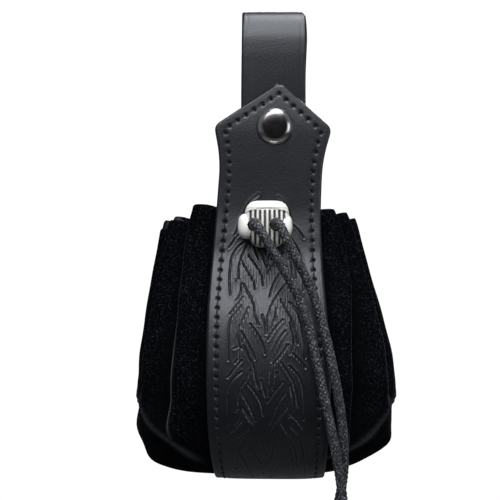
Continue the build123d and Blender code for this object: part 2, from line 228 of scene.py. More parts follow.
def tube(line, radius, sides):
    """Rings round a line; radius is a function of (angle, length along the line)."""
    count = len(line)
    along = lengths_along(line)
    ways = np.gradient(line, axis=0)
    ways /= np.linalg.norm(ways, axis=1)[:, None]
    side = np.cross(ways[0], (0.3, 0.2, 1.0))
    sides_at = []
    for way in ways:
        side = side - way * side.dot(way)
        side /= np.linalg.norm(side)
        sides_at.append(side)
    sides_at = np.array(sides_at)
    ups = np.cross(ways, sides_at)

    def shape(u, v):
        ring = np.clip(np.rint(v * (count - 1)).astype(int), 0, count - 1)
        angle = 2 * math.pi * u
        size = radius(angle, along[ring])[:, None]
        return line[ring] + size * (
            np.cos(angle)[:, None] * sides_at[ring] + np.sin(angle)[:, None] * ups[ring]
        )

    bm = grid(sides, count - 1, shape, wrap=True)
    bmesh.ops.holes_fill(bm, edges=bm.edges, sides=0)
    bmesh.ops.recalc_face_normals(bm, faces=bm.faces)
    return bm


# --- Shader maths ---------------------------------------------------------------------------


class Sock:
    """A socket that adds Math nodes when it is used in an expression."""

    def __init__(self, shader, socket):
        self.shader, self.socket = shader, socket

    def _math(self, operation, first, second):
        return self.shader.node("ShaderNodeMath", {0: first, 1: second}, operation=operation)

    def __add__(self, other):
        return self._math("ADD", self, other)

    def __radd__(self, other):
        return self._math("ADD", other, self)

    def __sub__(self, other):
        return self._math("SUBTRACT", self, other)

    def __rsub__(self, other):
        return self._math("SUBTRACT", other, self)

    def __mul__(self, other):
        return self._math("MULTIPLY", self, other)

    def __rmul__(self, other):
        return self._math("MULTIPLY", other, self)

    def clamp(self, low, high):
        return self.shader.node("ShaderNodeClamp", {"Value": self, "Min": low, "Max": high})

    def power(self, exponent):
        return self._math("POWER", self, exponent)


SOCKETS = {
    "base_color": "Base Color", "roughness": "Roughness", "metallic": "Metallic",
    "specular": "Specular IOR Level", "coat": "Coat Weight", "coat_roughness": "Coat Roughness",
    "sheen": "Sheen Weight", "sheen_roughness": "Sheen Roughness", "sheen_tint": "Sheen Tint",
}


class Shader:
    """One material, built around a Principled BSDF."""

    def __init__(self, name, **constants):
        self.material = bpy.data.materials.new(name)
        self.material.use_nodes = True
        self.tree = self.material.node_tree
        self.bsdf = self.tree.nodes["Principled BSDF"]
        for key, value in constants.items():
            self.bsdf.inputs[SOCKETS[key]].default_value = value

    def node(self, kind, inputs=None, output=0, **settings):
        """A new node; an input is a socket to link or a value to set."""
        made = self.tree.nodes.new(kind)
        for key, value in settings.items():
            setattr(made, key, value)
        for key, value in (inputs or {}).items():
            if isinstance(value, Sock):
                self.tree.links.new(value.socket, made.inputs[key])
            else:
                made.inputs[key].default_value = value
        return Sock(self, made.outputs[output])

    def feed(self, name, value):
        self.tree.links.new(value.socket, self.bsdf.inputs[name])

    def spot(self, scale=(1, 1, 1)):
        """Object coordinates in millimetres, stretched by scale."""
        coordinates = self.node("ShaderNodeTexCoord", output="Object")
        size = [part / MM for part in scale]
        return self.node("ShaderNodeMapping", {"Vector": coordinates, "Scale": size})

    def noise(self, vector, scale, detail=3.0, roughness=0.5):
        inputs = {"Vector": vector, "Scale": scale, "Detail": detail, "Roughness": roughness}
        return self.node("ShaderNodeTexNoise", inputs)

    def cells(self, vector, scale):
        return self.node("ShaderNodeTexVoronoi", {"Vector": vector, "Scale": scale})

    def attribute(self, name):
        return self.node("ShaderNodeAttribute", output="Fac", attribute_name=name)

    def mix(self, factor, first, second):
        """Blend two colours."""
        first, second = (
            colour if isinstance(colour, Sock) else (*colour, 1) for colour in (first, second)
        )
        inputs = {0: factor, 6: first, 7: second}
        return self.node("ShaderNodeMix", inputs, output=2, data_type="RGBA")

    def bump(self, height, strength, distance):
        inputs = {"Height": height, "Strength": strength, "Distance": distance * MM}
        self.feed("Normal", self.node("ShaderNodeBump", inputs))


def leather(name, low, high, grain, carved=False):
    """Black leather with fine pores and a soft sheen; painted shade darkens its carved lines and
    stitch holes, and painted highlights lighten the carving's lips and, together with edge wear,
    its edges.
    """
    shader = Shader(name, specular=0.50, coat=0.03, coat_roughness=0.35)
    spot = shader.spot()
    pores = shader.cells(spot, grain)
    fine = shader.noise(spot, grain * 1.7, 4.0, 0.6)
    cloudy = shader.noise(spot, 0.09, 3.0, 0.55)
    colour = shader.mix(cloudy, low, high)
    mottled = shader.noise(spot, 0.8, 3.0, 0.6)
    rough = 0.20 + 0.08 * cloudy + 0.08 * mottled + 0.05 * fine
    height = 0.6 * pores + 0.5 * fine
    if carved:
        carving = shader.attribute("carving")
        line = ((0.17 - carving) * 10.0).clamp(0.0, 1.0)
        lip = (1.0 - (carving - 0.50) * (carving - 0.50) * 16.0).clamp(0.0, 1.0)
        hole = ((0.68 - shader.attribute("hole")) * 4.0).clamp(0.0, 1.0)
        # Painted shade: the cores of the carved lines and the stitch holes are darkened towards
        # black.
        dark = (0.80 * line + 0.95 * hole).clamp(0.0, 1.0)
        # Painted highlight on the carving's lips; the lighter edge band is partly edge wear and
        # partly a painted highlight.
        light = (0.55 * shader.attribute("worn") * fine + 0.22 * lip * cloudy).clamp(0.0, 0.6)
        colour = shader.mix(light, colour, tuple(3.0 * part for part in high))
        colour = shader.mix(dark, colour, (0.0015, 0.0015, 0.002))
        rough = rough + 0.3 * dark - 0.10 * lip
        strokes = shader.node(
            "ShaderNodeTexWave",
            {"Vector": shader.spot((1.0, 0.0, 0.55)), "Scale": 0.30, "Distortion": 4.0,
             "Detail": 2.0, "Detail Scale": 0.25},
            output=1,
        )
        height = height + 1.3 * strokes * shader.attribute("hatched") - 1.6 * line
    shader.feed("Base Color", colour)
    shader.feed("Roughness", rough.clamp(0.2, 0.9))
    shader.bump(height, 0.55, 0.12)
    return shader.material


def velvet():
    shader = Shader(
        "velvet", sheen=0.05, sheen_roughness=0.26, sheen_tint=(0.40, 0.42, 0.46, 1),
        specular=0.03,
    )
    spot = shader.spot()
    pile = shader.noise(spot, 1.5, 2.0, 0.75)
    brushed = shader.noise(shader.spot((0.10, 0.10, 0.04)), 1.0, 3.0, 0.55)
    specks = ((pile - 0.56) * 8.0).clamp(0.0, 1.0)
    base = shader.mix(brushed, (0.0003, 0.0004, 0.0006), (0.0018, 0.0021, 0.0028))
    # Painted shade: the pile specks fade in the creases between the pleats and show on their
    # crests.
    raised = specks * brushed * (0.25 + shader.attribute("lit_crest"))
    base = shader.mix(raised, base, (0.034, 0.039, 0.046))
    # Painted highlight: a light grey line along each pleat's outer edge and along the base seam,
    # stronger on the front.
    base = shader.mix(shader.attribute("fold") * (0.35 + 0.5 * pile), base, (0.21, 0.22, 0.235))
    shader.feed("Base Color", base)
    shader.feed("Roughness", 0.85 + 0.12 * pile)
    shader.bump(pile, 0.8, 0.3)
    return shader.material


def nickel():
    shader = Shader("dark_nickel", metallic=1.0)
    spot = shader.spot()
    smudge = shader.noise(spot, 0.35, 4.0, 0.6)
    scuffs = shader.noise(shader.spot((0.4, 3.0, 3.0)), 1.4, 2.0, 0.5)
    dark = shader.mix(smudge, (0.030, 0.026, 0.026), (0.070, 0.062, 0.060))
    # Painted highlight: a bright ring towards the dome's rim, broken up by the scuffs.
    rim_highlight = shader.attribute("rim_highlight") * (0.75 + 0.4 * scuffs)
    shader.feed("Base Color", shader.mix(rim_highlight.clamp(0.0, 1.0), dark, (0.62, 0.60, 0.56)))
    shader.feed("Roughness", 0.13 + 0.10 * smudge + 0.05 * scuffs)
    shader.bump(scuffs, 0.06, 0.03)
    return shader.material


def carved_bone():
    shader = Shader("carved_bone", coat=0.25, coat_roughness=0.2)
    spot = shader.spot()
    cloudy = shader.noise(spot, 0.22, 4.0, 0.55)
    streaks = shader.noise(shader.spot((1.0, 1.0, 0.15)), 0.9, 3.0, 0.6)
    bone = shader.mix(cloudy, (0.88, 0.85, 0.74), (0.96, 0.94, 0.85))
    bone = shader.mix((streaks - 0.52).clamp(0.0, 0.3), bone, (0.52, 0.40, 0.22))
    stain = (shader.attribute("hollow") * (1.0 + 0.7 * streaks)).clamp(0.0, 1.0)
    bone = shader.mix(stain, bone, (0.016, 0.008, 0.004))
    shader.feed("Base Color", bone)
    shader.feed("Roughness", (0.32 + 0.12 * cloudy + 0.3 * stain).clamp(0.2, 0.9))
    shader.bump(streaks + 0.4 * cloudy, 0.12, 0.1)
    return shader.material


def braid_material():
    shader = Shader("braided_cord", sheen=0.05, sheen_roughness=0.4,
                    sheen_tint=(0.5, 0.5, 0.55, 1), specular=0.5)
    spot = shader.spot()
    fibres = shader.noise(spot, 3.2, 3.0, 0.65)
    lift = shader.attribute("lift")
    # Painted shade: the colour darkens into the valleys between the raised strands.
    colour = shader.mix(lift.power(3.0), (0.0004, 0.0004, 0.0006), (0.022, 0.024, 0.028))
    # Painted glints: light flecks on the raised strands.
    flecks = shader.noise(spot, 1.3, 2.0, 0.7)
    glints = ((flecks - 0.51) * 9.0).clamp(0.0, 1.0) * lift * (0.4 + fibres)
    colour = shader.mix(glints, colour, (0.26, 0.265, 0.28))
    shader.feed("Base Color", colour)
    shader.feed("Roughness", 0.75 - 0.35 * lift + 0.2 * fibres)
    shader.bump(fibres, 0.5, 0.08)
    return shader.material


def thread_material():
    shader = Shader("waxed_thread", specular=0.4)
    spot = shader.spot()
    twist = shader.noise(spot, 2.8, 2.0, 0.5)
    shader.feed("Base Color", shader.mix(twist, (0.002, 0.002, 0.003), (0.009, 0.009, 0.011)))
    shader.feed("Roughness", 0.50 + 0.2 * twist)
    shader.bump(twist, 0.4, 0.06)
    return shader.material


FACE = leather(
    "face_leather", (0.0032, 0.0036, 0.0046), (0.0066, 0.0072, 0.0088), 1.6, carved=True
)
LINING = leather("lining_leather", (0.006, 0.006, 0.0065), (0.012, 0.012, 0.013), 0.9)
STRAP = leather("strap_leather", (0.0040, 0.0044, 0.0056), (0.0076, 0.0084, 0.0102), 1.8)
VELVET = velvet()
NICKEL = nickel()
BONE = carved_bone()
BRAID = braid_material()
THREAD = thread_material()

# --- Leather strip --------------------------------------------------------------------------

FACE_THICK = 1.4
LINING_THICK = 1.0
STITCH_INSET = 3.7
STITCH_PITCH = 4.0
LONGEST_STITCH = 5.0
CARVING_CENTRE = -1.1
FAR = 4.0  # further from any carved line than matters
TAB_TILT = math.radians(4.0)
FOLD_Z = -54.0
FOLD_Y = -16.73

# Side view of the outer face (y, z) below the fold, from the fold to the middle underneath.
FRONT_SIDE = (
    (-17.5, -62.0), (-18.9, -70.0), (-20.7, -78.5), (-25.0, -90.0), (-29.6, -103.0),
    (-32.4, -116.5), (-33.6, -131.0), (-32.3, -145.5), (-28.6, -156.2), (-21.8, -164.4),
    (-13.0, -168.6), (0.0, -169.2),
)
TAB_SIDE = (
    (-11.5, -4.0), (-12.0, -8.0), (-13.6, -18.0), (-14.8, -27.0), (-15.7, -39.0),
    (FOLD_Y, FOLD_Z),
)
# Edges of the strip below the fold (z, left x, right x).
STRIP_EDGES = (
    (-54.0, -20.9, 20.5), (-62.0, -21.5, 20.3), (-72.0, -22.4, 20.6), (-84.0, -23.6, 21.2),
    (-98.0, -24.8, 22.4), (-112.0, -25.2, 23.4), (-128.0, -25.2, 23.5), (-146.0, -24.8, 23.2),
    (-158.0, -23.8, 22.8), (-166.0, -22.6, 22.2), (-170.0, -21.8, 21.8),
)
TAB_OUTLINE = (
    (-20.9, 0.0), (-19.8, 14.6), (-22.3, 28.6), (4.2, 46.2), (24.9, 27.4), (21.1, 14.0),
    (20.5, 0.0),
)
TAB_ROUNDING = (7, 2.6, 3.0, 2.6, 7)


class Strip:
    """A leather strip that follows a side view: s runs along it and x across it.

    Whoever makes it sets edges, which turns s into the strip's left and right x.
    """

    def __init__(self, side_view, fold_at=0.0, bow=0.0):
        self.line = smooth_line(side_view, 0.4)
        self.along = lengths_along(self.line) - fold_at
        ways = np.gradient(self.line, axis=0)
        ways /= np.linalg.norm(ways, axis=1)[:, None]
        self.outs = np.stack([ways[:, 1], -ways[:, 0]], axis=1)
        self.edges, self.bow = None, bow

    def point(self, x, s, height):
        """Where a point of the strip is, height millimetres out of its outer face."""
        y, z, out_y, out_z = (
            np.interp(s, self.along, values)
            for values in (*self.line.T, *self.outs.T)
        )
        sag = self.bow * smoothstep(8, 60, s) * (x / 24.0) ** 4
        height = height - sag
        return np.stack([x, y + out_y * height, z + out_z * height], axis=1)

    def z_at(self, s):
        return np.interp(s, self.along, self.line[:, 1])


def edges_below_fold(z):
    stations = np.array(STRIP_EDGES)[::-1]
    return [np.interp(z, stations[:, 0], stations[:, side]) for side in (1, 2)]


def front_strip():
    """The tab and the front of the strip; s is 0 at the fold and negative on the tab."""
    fold_at = lengths_along(smooth_line(TAB_SIDE, 0.4))[-1]
    outline = evenly(rounded(TAB_OUTLINE, TAB_ROUNDING), 400)
    tip = int(np.argmax(outline[:, 1]))
    left, right = outline[: tip + 1], outline[tip:][::-1]
    strip = Strip(TAB_SIDE + FRONT_SIDE, fold_at, bow=1.1)

    def edges(s):
        low, high = edges_below_fold(strip.z_at(s))
        low = np.where(s < 0, np.interp(-s, left[:, 1], left[:, 0]), low)
        high = np.where(s < 0, np.interp(-s, right[:, 1], right[:, 0]), high)
        return low, high

    strip.edges = edges
    return strip, -outline[tip, 1] + 0.04


FRONT, FRONT_TOP = front_strip()
FRONT_END = FRONT.along[-1]


def line_inside_edge(inset, foot):
    """A line (x, s) up the front's left edge, round the tab's tip and down the right."""
    s = np.concatenate([np.arange(foot, 0, -2.0), np.arange(0, FRONT_TOP, -0.25), [FRONT_TOP]])
    low, high = FRONT.edges(s)
    line = np.vstack([np.stack([low, s], 1), np.stack([high, s], 1)[::-1]])
    line = evenly(line, 700)
    ways = np.gradient(line, axis=0)
    ways /= np.linalg.norm(ways, axis=1)[:, None]
    inner = line + inset * np.stack([-ways[:, 1], ways[:, 0]], axis=1)
    keep = distance_to(line[::3], inner[:, 0], inner[:, 1]) > inset * 0.97
    return inner[keep]


def hole_places(line):
    count = int(lengths_along(line)[-1] / STITCH_PITCH)
    return evenly(line, count + 1)


FRONT_STITCHES = line_inside_edge(STITCH_INSET, FRONT_END - 4)
FRONT_HOLES = hole_places(FRONT_STITCHES)

# Carving: one repeat of bark-like strokes as (across, up) from the tip of its V.
CARVING_TIPS = (-83.0, -109.4, -134.4, -158.5)
CARVED_LINES = (
    ((8.4, 20.4), (5.6, 17.4), (2.6, 12.6), (0.9, 7.2), (0.0, 0.4)),
    ((-9.4, 20.0), (-7.5, 15.8), (-5.6, 12.2), (-4.7, 7.6), (-3.4, 3.6)),
    ((-2.2, 6.8), (-1.4, 3.6), (-0.5, 0.6)),
    ((6.2, 5.8), (3.0, 2.2), (0.1, -2.6)),
    ((-7.4, 5.0), (-4.8, 1.2), (-2.4, -2.8), (-1.3, -7.2)),
    ((-10.3, 1.6), (-7.9, -2.6), (-6.0, -6.4), (-5.2, -9.8)),
    ((7.6, 1.4), (5.0, -2.2), (3.0, -6.6), (1.4, -11.2)),
    ((-7.0, 10.8), (-8.9, 7.0), (-10.9, 3.2), (-11.7, -1.4), (-11.3, -4.4), (-12.9, -5.6)),
    ((-9.7, 10.2), (-12.1, 7.8), (-14.4, 4.8), (-15.2, 1.2), (-15.4, -4.6), (-15.2, -11.0)),
    ((-9.8, 14.4), (-12.0, 12.0), (-14.2, 9.2), (-15.4, 7.6)),
    ((-6.8, 14.0), (-8.8, 17.4), (-10.6, 19.8), (-11.6, 15.2), (-13.1, 13.2)),
    ((5.2, 13.6), (7.4, 10.0), (9.6, 6.2), (11.2, 1.2), (11.9, -4.2)),
    ((8.6, 12.4), (11.8, 8.6), (13.6, 3.8), (14.5, -2.4), (14.6, -9.6)),
    ((9.6, 17.6), (12.4, 14.8), (14.6, 11.6)),
    ((3.9, 10.2), (2.7, 6.4), (2.1, 3.4)),
    ((8.9, 3.8), (10.0, -0.4), (10.2, -5.2), (8.6, -8.6)),
)
EAR_LINES = (
    ((-3.0, 28.6), (-5.2, 26.8), (-7.2, 24.6), (-9.0, 20.0)),
    ((4.5, 28.4), (6.3, 26.4), (7.9, 24.0), (9.2, 19.0)),
)


def carving_paths():
    """Every carved line as points (x, s); each repeat is drawn a little differently."""
    local = np.random.default_rng(12)
    paths = []
    for tip in CARVING_TIPS:
        for line in CARVED_LINES + (EAR_LINES if tip == CARVING_TIPS[0] else ()):
            spots = np.array(line, float)
            spots = spots + local.normal(0, 0.16, spots.shape) + local.normal(0, 0.3, 2)
            z = np.clip(tip + spots[:, 1], -167.5, -53.0)
            s = np.interp(-z, -FRONT.line[:, 1], FRONT.along)
            path = np.stack([spots[:, 0] + CARVING_CENTRE, s], axis=1)
            paths.append(smooth_line(path, 1.4))
    return paths


def carved_distance(x, s):
    """Distance to the nearest carved line."""
    best = np.full(x.shape, 9.0)
    for path in carving_paths():
        low, high = path.min(axis=0) - 3, path.max(axis=0) + 3
        near = (x > low[0]) & (x < high[0]) & (s > low[1]) & (s < high[1])
        best[near] = np.minimum(best[near], distance_to(path, x[near], s[near]))
    return best


def edge_distance(x, s):
    """Distance from the front's edges; 9 mm well inside them."""
    line = line_inside_edge(0.0, FRONT_END)
    near = (s < 2) | (np.abs(x) > 17)
    gap = np.full(x.shape, 9.0)
    gap[near] = distance_to(line[::2], x[near], s[near])
    return gap


def hole_distance(holes, x, s):
    """Distance to the nearest stitch hole, up to 2 mm."""
    gap = np.full(x.shape, 2.0)
    for hole_x, hole_s in holes:
        near = (np.abs(x - hole_x) < 2) & (np.abs(s - hole_s) < 2)
        gap[near] = np.minimum(gap[near], np.hypot(x[near] - hole_x, s[near] - hole_s))
    return gap


def bump_near(distance, place, width):
    """A soft ridge, 1 high, at a distance from something."""
    return np.exp(-(((distance - place) / width) ** 2))


def sewn_leather(stitching, gap, hole):
    """Height of a sewn strip, and its lighter edge band (partly edge wear, partly a painted
    highlight), from the distances to its stitching, edge and holes.
    """
    rim = np.clip(1 - gap / 0.7, 0, 1) ** 2
    groove, holes = bump_near(stitching, 0.0, 0.8), bump_near(hole, 0.0, 0.66)
    return -0.05 * groove - 0.70 * holes - 0.34 * rim, bump_near(gap, 0.5, 0.4)


def front_relief(x, s):
    """Height of the front's outer face, and the marks for its material."""
    hole = hole_distance(FRONT_HOLES, x, s)
    stitching = distance_to(FRONT_STITCHES[::4], x, s)
    height, worn = sewn_leather(stitching, edge_distance(x, s), hole)
    carving = carved_distance(x, s)
    height = height - 0.24 * bump_near(carving, 0.0, 0.29) + 0.09 * bump_near(carving, 0.75, 0.36)
    height = height + 0.12 * ripple(x, s, 11, 16.0)
    inner = smoothstep(15.5, 13.0, np.abs(x - CARVING_CENTRE)) * smoothstep(14.0, 30.0, s)
    patches = np.clip(0.45 + 0.75 * ripple(x, s, 21, 5.0), 0, 1)
    return height, {"carving": np.minimum(carving, FAR), "hole": hole, "worn": worn,
                    "hatched": inner * patches}


def strip_grid(strip, columns, rows, top, end, relief, widen=0.0):
    """A sheet over a strip; relief gives the height at (x, s) and the marks to keep there."""
    marks = {}

    def shape(u, v):
        s = top + (end - top) * v
        low, high = strip.edges(s)
        x = (low - widen) + (high - low + 2 * widen) * u
        height, found = relief(x, s)
        marks.update(found)
        return strip.point(x, s, height)

    bm = grid(columns, rows, shape)
    for key, values in marks.items():
        mark(bm, key, values)
    return bm


def solid_sheet(name, bm, material, thickness, out):
    """Give a sheet its thickness, away from its outer face, and make it an object."""
    face_outward(bm, out)
    piece = add_piece(name, bm, material)
    return thicken(piece, thickness)


def face_outward(bm, out):
    """Turn a sheet's faces so that its middle one looks the way that out points."""
    bmesh.ops.recalc_face_normals(bm, faces=bm.faces)
    bm.faces.ensure_lookup_table()
    middle = bm.faces[len(bm.faces) // 2]
    middle.normal_update()
    if middle.normal.dot(Vector(out)) < 0:
        bmesh.ops.reverse_faces(bm, faces=bm.faces)


def edged_sheet(name, bm, material, thickness, out):
    """A dense outer face with edges one thickness deep; its back lies on the lining."""
    face_outward(bm, out)
    bm.normal_update()
    rim = [edge for edge in bm.edges if edge.is_boundary]
    made = bmesh.ops.extrude_edge_only(bm, edges=rim)["geom"]
    fresh = [item for item in made if isinstance(item, bmesh.types.BMVert)]
    above = {}
    for vert in fresh:
        for edge in vert.link_edges:
            other = edge.other_vert(vert)
            if other not in fresh:
                above[vert] = other.normal.copy()
    for vert, normal in above.items():
        flat = Vector((0, normal.y, normal.z)).normalized()
        vert.co = vert.co - flat * thickness
    return add_piece(name, bm, material)


def face_strip():
    bm = strip_grid(FRONT, 150, 560, FRONT_TOP, FRONT_END, front_relief)
    piece = edged_sheet("front_strip_face", bm, FACE, FACE_THICK, (0, -1, 0))
    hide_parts("tab_outer", "front_panel_outer")
    return piece


def lining_relief(x, s):
    return np.full(x.shape, -FACE_THICK - 0.05) + 0.05 * ripple(x, s, 31, 12.0), {}


def lining_strip():
    bm = strip_grid(FRONT, 40, 160, FRONT_TOP, FRONT_END, lining_relief, widen=0.25)
    piece = solid_sheet(
        "front_strip_lining", bm, LINING, LINING_THICK, (0, -1, 0)
    )
    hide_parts("tab_lining", "front_panel_lining")
    return piece


def bend_at_tab(piece):
    """Bakes the piece's placement into its mesh; the strip's side view already takes it over the
    fold between the bag and its tab.
    """
    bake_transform(piece)


def thread_radius(angle, along):
    return 0.36 + 0.03 * np.sin(3 * angle + 5 * along)


def thread_stitches(name, strip, holes):
    """A thread from each hole to the next, dipping into both; none from row to row."""
    bm = bmesh.new()
    for (ax, a_s), (bx, b_s) in zip(holes, holes[1:]):
        if math.hypot(bx - ax, b_s - a_s) > LONGEST_STITCH:
            continue
        t = np.linspace(0.04, 0.96, 7)
        x, s = ax + (bx - ax) * t, a_s + (b_s - a_s) * t
        height = -0.38 + 0.13 * np.sin(math.pi * t) ** 0.5 - 0.62 * np.abs(2 * t - 1) ** 5
        line = strip.point(x, s, height)
        join_into(bm, tube(line, thread_radius, 9))
    return add_piece(name, bm, THREAD)


for made in (face_strip(), lining_strip()):
    bend_at_tab(made)
front_stitches = thread_stitches("front_strip_stitches", FRONT, FRONT_HOLES)
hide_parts("tab_stitches", "front_panel_stitches")
bend_at_tab(front_stitches)

# --- Back of the strip ----------------------------------------------------------------------

BACK_TOP_Z = -51.0


def back_strip():
    """The strip behind the bag: s runs up from the middle underneath."""
    strip = Strip([(-y, z) for y, z in FRONT_SIDE[::-1]] + [(15.6, BACK_TOP_Z)])

    def edges(s):
        low, high = edges_below_fold(strip.z_at(s))
        corner = np.clip((s - (strip.along[-1] - 5.0)) / 5.0, 0, 1)
        cut = 5.0 * (1 - np.sqrt(1 - corner**2))
        return low + cut, high - cut

    strip.edges = edges
    return strip


BACK = back_strip()
BACK_END = BACK.along[-1]


def back_holes(side):
    s = np.arange(4.0, BACK_END - 3.0, 1.0)
    low, high = BACK.edges(s)
    x = low + STITCH_INSET if side < 0 else high - STITCH_INSET
    return hole_places(np.stack([x, s], axis=1))


BACK_HOLES = np.vstack([back_holes(side) for side in (-1, 1)])


def back_relief(x, s):
    """Height of the back's plain outer face, and the marks for its material."""
    low, high = BACK.edges(s)
    gap = np.minimum(np.minimum(x - low, high - x), BACK_END - s)
    hole = hole_distance(BACK_HOLES, x, s)
    height, worn = sewn_leather(gap - STITCH_INSET, gap, hole)
    return height + 0.12 * ripple(x, s, 41, 18.0), {
        "carving": np.full(x.shape, FAR), "hole": hole, "worn": worn,
        "hatched": np.zeros(x.shape),
    }


def back_lining_relief(x, s):
    return np.full(x.shape, -FACE_THICK - 0.05), {}


def back_pieces():
    bm = strip_grid(BACK, 84, 230, 0.0, BACK_END, back_relief)
    face = edged_sheet("back_strip_face", bm, FACE, FACE_THICK, (0, 1, 0))
    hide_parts("back_panel_outer")
    bm = strip_grid(BACK, 30, 120, 0.0, BACK_END, back_lining_relief, widen=0.2)
    lining = solid_sheet(
        "back_strip_lining", bm, LINING, LINING_THICK, (0, 1, 0)
    )
    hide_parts("back_panel_lining")
    stitches = thread_stitches("back_strip_stitches", BACK, BACK_HOLES)
    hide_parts("back_panel_stitches")
    for piece in (face, lining, stitches):
        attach(piece, "bag")


back_pieces()

# --- Belt strap -----------------------------------------------------------------------------

STRAP_THICK = 2.2
STRAP_X = 1.5
STRAP_WIDTH = 25.8


def strap_strip():
    """The strap's outer face: up from its sewn end, over the belt, down behind the tab."""
    side_view = [(23.0, -75.5), (21.6, -69.0), (19.9, -60.5), (17.6, -52.0), (13.4, -40.0),
                 (9.0, -28.5), (6.9, -20.0), (6.7, -8.0), (7.0, 5.0), (6.8, 12.0), (5.5, 17.6),
                 (3.1, 20.8), (0.7, 21.6), (-1.8, 20.7), (-4.4, 17.4), (-6.6, 12.0),
                 (-7.6, 5.8), (-8.1, -0.5), (-8.6, -9.0), (-9.2, -22.0), (-10.2, -38.0)]
    strip = Strip(side_view)
    end = strip.along[-1]

    def edges(s):
        round_end = np.clip((s - (end - 7.5)) / 7.5, 0, 1)
        sewn_end = np.clip((2.5 - s) / 2.5, 0, 1)
        cut = 7.5 * (1 - np.sqrt(1 - round_end**2)) + 2.5 * (1 - np.sqrt(1 - sewn_end**2))
        half_width = STRAP_WIDTH / 2 + 0.25 * np.sin(s / 19.0)
        stretched = 0.9 * np.exp(-(((s - (end - 50.0)) / 12.0) ** 2))
        return STRAP_X - half_width + cut, STRAP_X + half_width + stretched - cut

    strip.edges = edges
    return strip


BELT = strap_strip()


def strap_relief(x, s):
    """A pressed edge with a crease line beside it."""
    low, high = BELT.edges(s)
    gap = np.minimum(x - low, high - x)
    rim = np.clip(1 - gap / 1.1, 0, 1) ** 2
    crease = bump_near(gap, 2.1, 0.45)
    return -0.45 * rim - 0.10 * crease + 0.10 * ripple(x, s, 51, 14.0), {}


def belt_strap():
    bm = strip_grid(BELT, 44, 270, 0.05, BELT.along[-1] - 0.05, strap_relief)
    piece = solid_sheet("belt_strap", bm, STRAP, STRAP_THICK, (0, 1, 0))
    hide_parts("belt_strap_loop", "belt_strap_end")
    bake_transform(piece)


def anchor_stitches():
    """A sewn box with a cross in it, at the strap's foot."""
    left, right = STRAP_X - 9.2, STRAP_X + 9.2
    low, high = 3.4, 17.5
    box = np.array([(left, low), (right, low), (right, high), (left, high), (left, low),
                    (right, high)])
    cross = np.array([(left, high), (right, low)])
    holes = np.vstack([hole_places(line) for line in (box, cross)])
    piece = thread_stitches("strap_anchor_stitches_sewn", BELT, holes)
    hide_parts("strap_anchor_stitches")
    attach(piece, "bag")


belt_strap()
anchor_stitches()

# --- Snap fastener --------------------------------------------------------------------------


def domed_cap():
    low, high = node_box("snap_cap")
    middle = (low + high) / 2
    out = Vector((0, -math.cos(TAB_TILT), math.sin(TAB_TILT)))
    radius = (high[0] - low[0]) / 2
    profile = [(0.0, 3.05), (2.4, 3.02), (4.2, 2.88), (5.2, 2.64), (6.0, 2.26), (6.7, 1.68),
               (7.2, 1.05), (7.5, 0.6), (radius, 0.3), (radius - 0.1, 0.0),
               (radius - 1.4, -0.15), (0.0, -0.15)]
    bm = bmesh.new()
    verts = [bm.verts.new((x, 0, z)) for x, z in smooth_line(profile, 0.45)]
    edges = [bm.edges.new(pair) for pair in zip(verts, verts[1:])]
    bmesh.ops.spin(bm, geom=verts + edges, cent=(0, 0, 0), axis=(0, 0, 1), dvec=(0, 0, 0),
                   angle=2 * math.pi, steps=72, use_merge=True)
    bmesh.ops.remove_doubles(bm, verts=bm.verts, dist=1e-3)
    bmesh.ops.recalc_face_normals(bm, faces=bm.faces)
    reach = [math.hypot(vert.co.x, vert.co.y) / radius for vert in bm.verts]
    # Painted highlight ring towards the dome's rim.
    mark(bm, "rim_highlight", smoothstep(0.62, 0.80, np.array(reach)))
    base = Vector((middle[0], 0, middle[2]))
    base.y = FOLD_Y + 28.0 * math.sin(TAB_TILT)
    turn = out.to_track_quat("Z", "Y").to_matrix().to_4x4()
    bmesh.ops.transform(bm, matrix=Matrix.Translation(base) @ turn, verts=bm.verts)
    piece = add_piece("snap_cap_dome", bm, NICKEL)
    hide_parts("snap_cap")
    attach(piece, "tab")


domed_cap()
for node in ("snap_socket", "snap_stud", "snap_eyelet"):
    metal = bpy.data.objects[node].data.materials
    metal.clear()
    metal.append(NICKEL)

# --- Bead -----------------------------------------------------------------------------------

BEAD_BASE = np.array((-1.9, -18.67, -66.6))
BEAD_UP = np.array((0.0, PULL[2], -PULL[1]))
BEAD_FRONT = 11.3
HOLE_X = 4.35
HOLE_DROP = 1.1
HOLE_RADIUS = 2.75
HOLE_SIDES = 40


def on_bead(points):
    """From the bead's own axes (across, up, out) to the frame's."""
    points = np.asarray(points, float)
    return (BEAD_BASE + points[:, :1] * np.array((1.0, 0, 0)) + points[:, 1:2] * BEAD_UP
            + points[:, 2:] * PULL)


